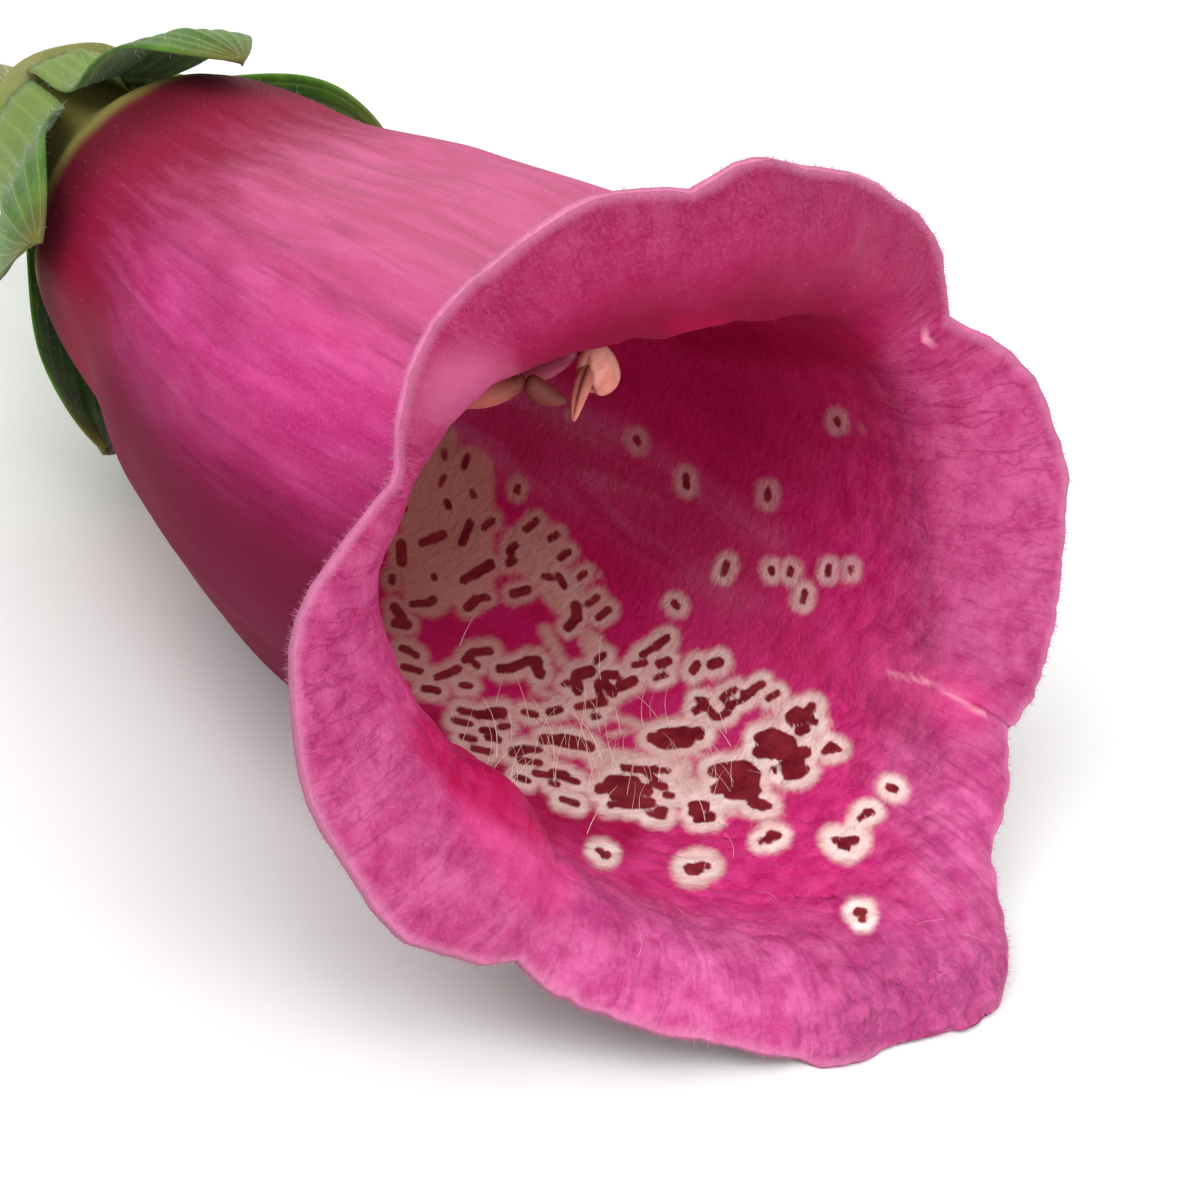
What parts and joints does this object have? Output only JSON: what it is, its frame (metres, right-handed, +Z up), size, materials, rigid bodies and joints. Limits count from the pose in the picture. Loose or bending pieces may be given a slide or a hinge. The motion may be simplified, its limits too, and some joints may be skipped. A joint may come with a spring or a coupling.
{
  "type": "foxglove floret",
  "caption": "Tubular foxglove flower with a spotted throat and flared lobed lip, held in a green calyx on its cut stalk, as picked and lying on its belly.",
  "frame": {"origin": "on the surface the flower lies on, under the middle of its outline seen from above", "axes": "+Z up, from the belly to the roof of the tube; +Y from the mouth towards the stalk; the mouth faces -Y"},
  "size_m": [0.0268, 0.0592, 0.0236],
  "materials": {
    "petal": "matte",
    "sepal": "matte",
    "stalk": "matte",
    "pistil": "satin",
    "filament": "satin",
    "anther": "matte"
  },
  "bodies": {
    "root": {"corolla": "petal", "calyx": "sepal", "stalk": "stalk", "pistil": "pistil", "filament_long_near": "filament", "filament_long_far": "filament", "filament_short_near": "filament", "filament_short_far": "filament", "anther_long_near": "anther", "anther_long_far": "anther", "anther_short_near": "anther", "anther_short_far": "anther"}
  },
  "joints": []
}
